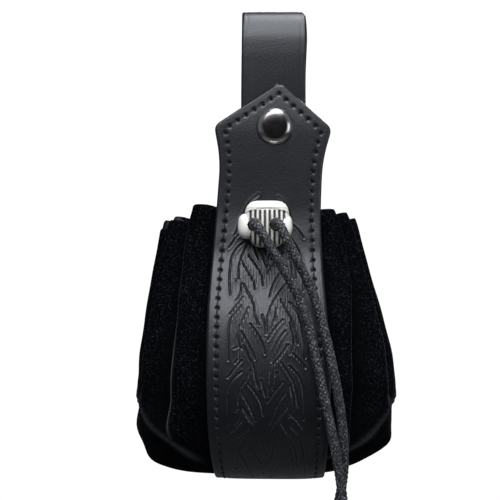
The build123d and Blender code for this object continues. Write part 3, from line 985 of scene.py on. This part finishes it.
def bead_body():
    """A rounded block that narrows downwards, with upright grooves under a plain band."""
    bm = bmesh.new()
    bmesh.ops.create_cube(bm, size=2.0)
    bmesh.ops.subdivide_edges(bm, edges=bm.edges, cuts=70, use_grid_fill=True)
    marks = {}

    def shape(old):
        flat = (np.abs(old[:, 0]) ** 4.4 + np.abs(old[:, 1]) ** 4.4) ** (2.8 / 4.4)
        ball = old / ((flat + np.abs(old[:, 2]) ** 2.8) ** (1 / 2.8))[:, None]
        x, y, z = ball[:, 0] * 8.9, ball[:, 1] * 9.3, ball[:, 2] * 5.5
        taper = 1 - 0.27 * smoothstep(1.0, -9.3, y) - 0.05 * smoothstep(5.0, 9.3, y)
        lobe = np.exp(-(((y + 0.4) / 3.4) ** 4)) * smoothstep(7.2, 8.6, np.abs(x))
        x = x * taper
        front = smoothstep(-1.0, 3.0, z)
        lines = np.abs(((x - 0.1) / 1.92) % 1.0 - 0.5) * 1.92
        reach = smoothstep(5.1, 4.4, y) * smoothstep(7.9, 7.4, np.abs(x)) * front
        cut = np.exp(-((lines / 0.52) ** 2)) * reach
        band = np.exp(-(((y - 5.3 + 0.02 * x**2) / 0.35) ** 2)) * front * 0.35
        marks["hollow"] = np.clip(cut + band, 0, 1)
        z = z - 0.65 * np.maximum(cut, band) + 0.35 * smoothstep(5.3, 6.3, y) * front
        x = x + np.sign(x) * lobe * 0.2 + 0.7
        return on_bead(np.stack([x, y, z + 5.8], axis=1))

    move_points(bm, shape)
    mark(bm, "hollow", marks["hollow"])
    bmesh.ops.recalc_face_normals(bm, faces=bm.faces)
    return bm


def bead_lobes():
    """Flattened discs that stand out at the bead's two sides."""
    bm = bmesh.new()
    for side, reach in ((-1, 11.0), (1, 10.9)):
        part = bmesh.new()
        bmesh.ops.create_uvsphere(part, u_segments=40, v_segments=24, radius=1.0)

        def shape(old, side=side, reach=reach):
            size = (np.abs(old) ** 2.6).sum(axis=1) ** (1 / 2.6)
            ball = old / size[:, None]
            return on_bead(np.stack([side * (reach - 3.6) + ball[:, 0] * 3.6,
                                     ball[:, 1] * 5.0 - 0.9, 5.6 + ball[:, 2] * 4.2], axis=1))

        move_points(part, shape)
        bmesh.ops.recalc_face_normals(part, faces=part.faces)
        join_into(bm, part)
    return bm


def drill(piece):
    """Cut the two cord holes."""
    bm = bmesh.new()
    for side in (-1, 1):
        bmesh.ops.create_cone(bm, cap_ends=True, segments=HOLE_SIDES, radius1=HOLE_RADIUS,
                              radius2=HOLE_RADIUS, depth=30)
        fresh = bm.verts[-2 * HOLE_SIDES:]
        bmesh.ops.translate(bm, verts=fresh, vec=(side * HOLE_X, -HOLE_DROP, 5))
    move_points(bm, on_bead)
    bmesh.ops.recalc_face_normals(bm, faces=bm.faces)
    cutter = add_piece("cutter", bm, BONE)
    modifier = piece.modifiers.new("holes", "BOOLEAN")
    modifier.operation = "DIFFERENCE"
    modifier.solver = "EXACT"
    modifier.object = cutter
    apply_modifiers(piece)
    bpy.data.objects.remove(cutter)


def bead():
    body = add_piece("bead_body", bead_body(), BONE)
    drill(body)
    lobes = add_piece("bead_lobes", bead_lobes(), BONE)
    drill(lobes)
    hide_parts("cord_bead")
    for piece in (body, lobes):
        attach(piece, "cord_pull")


bead()

# --- Braided cords --------------------------------------------------------------------------

CORD = 4.0
BRAID_LOW, BRAID_RISE = 0.80, 0.22  # the braid's valleys and strands, as shares of its radius


def exit_point(side):
    return on_bead([(side * HOLE_X, -HOLE_DROP, BEAD_FRONT)])[0]


LEFT_ROUTE = (
    (-5.3, -35.5, -66.0), (-3.8, -37.3, -68.3), (-0.8, -37.6, -73.3), (4.4, -37.2, -82.0),
    (10.6, -36.6, -92.6), (15.2, -36.9, -106.0), (18.4, -38.0, -121.0), (22.0, -38.6, -137.0),
    (25.4, -38.0, -153.0), (28.2, -36.6, -169.5), (29.8, -35.6, -186.0), (30.4, -35.0, -201.5),
)
RIGHT_ROUTE = (
    (3.7, -35.5, -65.8), (4.8, -37.2, -68.0), (7.1, -37.3, -73.2), (11.2, -36.4, -81.0),
    (15.8, -35.4, -90.0), (20.2, -35.3, -103.0), (23.8, -36.1, -117.6), (26.8, -36.0, -133.0),
    (29.0, -34.2, -148.4), (29.6, -31.9, -163.0), (27.6, -30.0, -175.6), (24.6, -28.8, -187.0),
)


def route_line(points):
    """The smooth line of a NURBS spline with these control points."""
    curve = bpy.data.curves.new("route", "CURVE")
    curve.dimensions = "3D"
    spline = curve.splines.new("NURBS")
    spline.points.add(len(points) - 1)
    for spot, point in zip(spline.points, points):
        spot.co = (*(part * MM for part in point), 1)
    spline.order_u = 3
    spline.use_endpoint_u = True
    spline.resolution_u = 24
    carrier = bpy.data.objects.new("route", curve)
    mesh = bpy.data.meshes.new_from_object(carrier)
    line = np.array([vert.co for vert in mesh.vertices]) / MM
    bpy.data.meshes.remove(mesh)
    bpy.data.objects.remove(carrier)
    return line


def braid_height(angle, along, width):
    """How far a strand lifts: six strands turn one way, over and under six the other way."""
    turn = along * (2 * math.pi / (width * 2.9))
    one, two = np.sin(3 * (angle + turn)), np.sin(3 * (angle - turn))
    upper, lower = np.where(one * two > 0, one, two), np.where(one * two > 0, two, one)
    return np.abs(upper) ** 0.8 * (0.55 + 0.45 * np.abs(lower))


def braid_radius(angle, along, width):
    return width / 2 * (BRAID_LOW + BRAID_RISE * braid_height(angle, along, width))


def braided(name, line, sides=28, step=0.30):
    """A braided cord on a line; also gives the line as it was sampled."""
    line = evenly(line, max(int(lengths_along(line)[-1] / step), 8))
    bm = tube(line, lambda angle, along: braid_radius(angle, along, CORD), sides)
    piece = add_piece(name, bm, BRAID)
    spots = np.zeros(len(piece.data.vertices) * 3)
    piece.data.vertices.foreach_get("co", spots)
    spots = spots.reshape(-1, 3) / MM
    nearest = np.array([np.argmin(((line - spot) ** 2).sum(axis=1)) for spot in spots])
    reach = np.linalg.norm(spots - line[nearest], axis=1)
    # lift also sets the cord's painted valley shade and painted glints.
    store(piece, "lift", np.clip((reach / (CORD / 2) - BRAID_LOW) / BRAID_RISE, 0, 1))
    return piece, line


def cord_tail(side, name, route):
    """A free end of the drawstring, from its hole in the bead to its knot."""
    start = exit_point(side)
    points = [tuple(start), tuple(start + PULL * 0.7 * CORD)] + list(route)
    piece, line = braided(f"cord_{name}", route_line(points))
    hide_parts(f"cord_tail_{name}")
    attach(piece, "cord_pull")
    knot = tied_knot(name, line)
    tuple(start * MM)
    [tuple(spot * MM) for spot in line]


def tied_knot(name, line):
    """An overhand knot pulled tight, with the cord's short end below it."""
    end = line[-1]
    way = line[-1] - line[-3]
    way /= np.linalg.norm(way)
    side = np.cross(way, (0, 1, 0))
    side /= np.linalg.norm(side)
    other = np.cross(way, side)
    t = np.linspace(0, 2 * math.pi, 120)
    size = 0.92
    across = size * (np.sin(t) + 2 * np.sin(2 * t))
    back = size * (np.cos(t) - 2 * np.cos(2 * t))
    along = 4.3 - 2.1 * size * np.sin(3 * t)
    loop = end + across[:, None] * side + back[:, None] * other + along[:, None] * way
    stub = end + way * np.linspace(-0.5, 15.0, 40)[:, None]

    def frayed(angle, along):
        total = lengths_along(stub)[-1]
        return braid_radius(angle, along, 3.5) * (1 + 0.25 * smoothstep(total - 3.5, total, along))

    bm = bmesh.new()
    join_into(bm, tube(loop, lambda angle, along: braid_radius(angle, along, 3.7), 24))
    join_into(bm, tube(stub, frayed, 24))
    piece = add_piece(f"knot_{name}", bm, BRAID)
    # An even middling lift, so the knot's painted valley shade and glints are even.
    store(piece, "lift", np.full(len(piece.data.vertices), 0.7))
    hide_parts(f"cord_knot_{name}")
    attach(piece, "cord_pull")
    return piece


def stems():
    """The cord inside the bead, the leather and the cloth."""
    for side, name in ((-1, "left"), (1, "right")):
        line = on_bead([(side * HOLE_X, -HOLE_DROP, out) for out in np.linspace(-14, 11.5, 40)])
        piece, _ = braided(f"stem_{name}", line)
        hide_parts(f"drawstring_stem_{name}")
        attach(piece, "cord_pull")


cord_tail(-1, "left", LEFT_ROUTE)
cord_tail(1, "right", RIGHT_ROUTE)
stems()


def held_cord():
    """The drawstring round the mouth, through the pleats."""
    low, high = node_box("drawstring_held")
    middle = (low + high) / 2
    depth = (high[1] - low[1]) / 2 - CORD / 2
    half = (high[0] - low[0]) / 2 - CORD / 2
    turns = np.radians(np.linspace(-90, 90, 25))
    ends = [(half - depth + depth * math.cos(turn), depth * math.sin(turn)) for turn in turns]
    left = [(-x, -y) for x, y in ends]
    line = [(5.5 - middle[0], -depth)] + ends + left + [(-9.0 - middle[0], -depth)]
    line = np.array([(middle[0] + x, middle[1] + y, middle[2]) for x, y in line])
    piece, _ = braided("drawstring_in_pleats", evenly(line, 300), sides=20, step=0.45)
    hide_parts("drawstring_held")
    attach(piece, "bag")


held_cord()

# --- Velvet bag -----------------------------------------------------------------------------

BAG_X = -1.5
# Outside of the bag (z, left x, right x, half depth).
BAG_LEVELS = (
    (-58.0, -40.6, 31.0, 15.5), (-66.0, -43.8, 35.0, 16.5), (-81.0, -47.0, 39.8, 20.0),
    (-98.0, -50.2, 45.2, 25.5), (-116.0, -53.0, 50.0, 29.5), (-128.0, -54.2, 51.6, 30.6),
    (-137.0, -54.4, 51.4, 30.4), (-147.5, -56.0, 51.4, 28.6), (-155.0, -53.2, 50.2, 25.0),
    (-162.0, -49.6, 39.5, 18.5), (-165.6, -40.0, 30.0, 13.0), (-167.2, -26.0, 20.0, 8.0),
    (-167.6, -1.6, -1.5, 0.3),
)
# Creases between the pleats, in degrees from the right with the front negative: at the mouth,
# at the belly, and how much lower than the tallest pleat the next pleat's top is.
PLEATS = (
    (-188, -190, 12.0), (-156, -169, 8.0), (-133, -136, 0.0), (-110, -110, 2.2), (-90, -90, 2.0),
    (-62, -64, 2.4), (-35, -53, 4.2), (-21, -16, 7.0), (9, 11, 7.5), (32, 33, 5.0), (58, 58, 2.5),
    (84, 84, 1.5), (108, 108, 2.0), (132, 131, 6.0), (153, 151, 8.0), (172, 170, 12.0),
)
MOUTH = (24.0, 10.0, -73.0)  # half width, half depth and height of the turned-in hem's end
HEM = 18.0


def pleats(angle, z):
    """Each point's pleat, how far across it, and how much lower its top is."""
    places = np.array(PLEATS)
    low = smoothstep(-66, -130, z)
    creases = places[:, 0] + (places[:, 1] - places[:, 0]) * low[:, None]
    turned = (angle - creases[:, 0]) % 360 + creases[:, 0]
    index = np.clip((turned[:, None] >= creases).sum(axis=1) - 1, 0, len(places) - 2)
    rows = np.arange(len(angle))
    start, end = creases[rows, index], creases[rows, index + 1]
    across = np.clip((turned - start) / (end - start), 0, 1)
    drops = places[:-1, 2]
    before, own, after = drops[index - 1], drops[index], drops[(index + 1) % len(drops)]
    edge_low, edge_high = smoothstep(0.12, 0.0, across), smoothstep(0.88, 1.0, across)
    drop = own + (before - own) * 0.5 * edge_low + (after - own) * 0.5 * edge_high
    return index, across, drop


def velvet_shape(u, v, marks):
    """The bag's outer face: u goes round it, v from the hem inside the mouth to the bottom."""
    angle = 360 * u - 180
    turn = np.radians(angle)
    line = smooth_line(np.array(BAG_LEVELS), 1.0)
    along = lengths_along(line)
    s = v * (along[-1] + HEM) - HEM
    outer_s = np.maximum(s, 0)
    z_first = np.interp(outer_s, along, line[:, 0])
    index, across, drop = pleats(angle, z_first)
    outer_s = outer_s + drop * np.clip(1 - outer_s / 60, 0, 1)
    z, left, right, depth = (np.interp(outer_s, along, line[:, k]) for k in range(4))

    local = np.random.default_rng(5)
    lean = local.uniform(0.4, 0.8, 20)[index]
    deep = local.uniform(0.85, 1.2, 20)[index]
    share, side = np.abs(np.cos(turn)), np.abs(np.sin(turn))
    sideways, backward = np.sign(np.cos(turn)), np.sign(np.sin(turn))
    outward = np.where(sideways * backward > 0, -1.0, 1.0)
    phase = np.where(outward > 0, across, 1 - across)
    bulge = np.sin(math.pi * phase ** (1 + lean)) ** 0.55

    seam = -137.0 - 30.0 * side**1.7
    above = z - seam
    fade = smoothstep(0.5, 13.0, above)
    top = smoothstep(-120, -66, z)
    sink = (4.6 + (3.0 + 5.5 * share**2 - 4.6) * top) * deep * fade
    inward = sink * (1 - bulge)
    half, middle = (right - left) / 2, (right + left) / 2
    lip = 0.4 * np.exp(-(((above - 1.8) / 2.0) ** 2)) - 1.5 * smoothstep(0.6, -1.4, above)
    lip = lip * smoothstep(-167.0, -164.0, z)
    x = middle + (half - inward * share + lip * share) * sideways * share**0.86
    y = (depth - inward * 0.9 + lip) * backward * side
    slide = (1.6 + 1.8 * top) * fade * np.exp(-(((phase - 0.8) / 0.22) ** 2))
    x = x + sideways * slide * side**0.7
    z = z - 2.6 * (1 - bulge) * smoothstep(-84, -64, z)
    soft = 0.50 * ripple(angle * 0.9, z, 61, 14.0) + 0.28 * ripple(angle * 1.6, z, 62, 6.0)
    x = x + soft * np.cos(turn) * (0.4 + 0.6 * fade)
    y = y + soft * np.sin(turn) * (0.4 + 0.6 * fade)

    inner = np.clip(-s / HEM, 0, 1)
    ease = smoothstep(0, 1, inner)
    mouth_x, mouth_y, mouth_z = MOUTH
    waves = 1 + 0.10 * bulge
    x = x + (BAG_X + mouth_x * waves * np.cos(turn) - x) * ease
    y = y + (mouth_y * waves * np.sin(turn) - y) * ease
    z = z + 1.4 * np.sin(math.pi * np.minimum(2.5 * inner, 1)) + (mouth_z - z) * inner**1.6
    # Painted highlight along each pleat's outer edge and along the base seam, stronger on the
    # front.
    edge = bump_near(phase, 0.90, 0.05) * fade * (1 - ease)
    seam_highlight = bump_near(above, 0.0, 1.6) * smoothstep(-163, -158, z)
    front = smoothstep(0.2, -0.6, np.sin(turn))
    marks["fold"] = np.clip(edge * (0.25 + 0.75 * front) + 0.45 * seam_highlight, 0, 1)
    # Painted shade in the creases: near 1 on the pleats' crests, falling to nothing in the
    # creases.
    marks["lit_crest"] = np.clip(smoothstep(0.3, 0.95, bulge) * (0.35 + 0.65 * fade), 0, 1)
    return np.stack([x, y, z], axis=1)


def velvet_bag():
    marks = {}
    bm = grid(460, 104, lambda u, v: velvet_shape(u, v, marks))
    for key, values in marks.items():
        mark(bm, key, values)
    bmesh.ops.remove_doubles(bm, verts=bm.verts, dist=1e-3)
    bmesh.ops.recalc_face_normals(bm, faces=bm.faces)
    piece = add_piece("velvet_bag", bm, VELVET)
    thicken(piece, 1.1)
    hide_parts("bag_wall", "bag_base")
    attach(piece, "bag")


velvet_bag()

# --- Floor, light and camera ----------------------------------------------------------------


def pale_floor():
    """A matt floor that looks pale but throws little light up at the bag."""
    shader = Shader("pale_floor", base_color=(0.12, 0.12, 0.12, 1), roughness=0.9)
    glow = shader.node("ShaderNodeEmission", {"Color": (0.90, 0.90, 0.90, 1), "Strength": 1.0})
    path = shader.node("ShaderNodeLightPath", output="Is Camera Ray")
    matt = Sock(shader, shader.bsdf.outputs[0])
    seen = shader.node("ShaderNodeMixShader", {0: path * 0.8, 1: matt, 2: glow})
    shader.tree.links.new(seen.socket, shader.tree.nodes["Material Output"].inputs[0])
    return shader.material


def studio():
    bm = bmesh.new()
    bmesh.ops.create_circle(bm, cap_ends=True, segments=96, radius=1.4)
    floor = to_scene("floor", to_mesh("floor", bm))
    floor.location = (0, 0, -0.40)
    floor.data.materials.append(pale_floor())

    world = bpy.data.worlds.new("studio")
    bpy.context.scene.world = world
    world.use_nodes = True
    tree = world.node_tree
    back = tree.nodes["Background"]
    seen = tree.nodes.new("ShaderNodeBackground")
    path = tree.nodes.new("ShaderNodeLightPath")
    choose = tree.nodes.new("ShaderNodeMixShader")
    back.inputs["Color"].default_value = (0.90, 0.96, 1.08, 1)
    back.inputs["Strength"].default_value = 0.16
    seen.inputs["Strength"].default_value = 1.05
    seen.inputs["Color"].default_value = (1, 1, 1, 1)
    tree.links.new(path.outputs["Is Camera Ray"], choose.inputs[0])
    tree.links.new(back.outputs[0], choose.inputs[1])
    tree.links.new(seen.outputs[0], choose.inputs[2])
    tree.links.new(choose.outputs[0], tree.nodes["World Output"].inputs[0])
    for name, spot, size, power in (
        ("key", (-0.12, -0.72, 0.63), 0.86, 1.85),
        ("top", (0.10, -0.15, 0.80), 0.5, 1.0),
        ("fill", (0.9, -0.8, 0.05), 0.6, 0.3),
        ("behind", (0.35, 0.85, 0.55), 0.5, 2.0),
    ):
        light = bpy.data.lights.new(name, "AREA")
        light.size = size
        light.spread = math.radians(60)
        light.energy = power
        light.color = (0.93, 0.97, 1.05)
        lamp = to_scene(name, light)
        lamp.location = spot
        aim = Vector((0, 0, -0.09)) - Vector(spot)
        lamp.rotation_euler = aim.to_track_quat("-Z", "Y").to_euler()


def camera():
    eye = bpy.data.cameras.new("camera")
    view = to_scene("camera", eye)
    distance = 1.05
    seen_width = 0.200  # at the strip, 25 mm in front of the middle
    eye.sensor_width = 36.0
    eye.lens = 36.0 * (distance - 0.025) / seen_width
    view.location = (-0.008, -distance, -0.076)
    view.rotation_euler = (math.radians(90), 0, 0)
    bpy.context.scene.camera = view
    bpy.context.scene.view_settings.view_transform = "Standard"


studio()
camera()
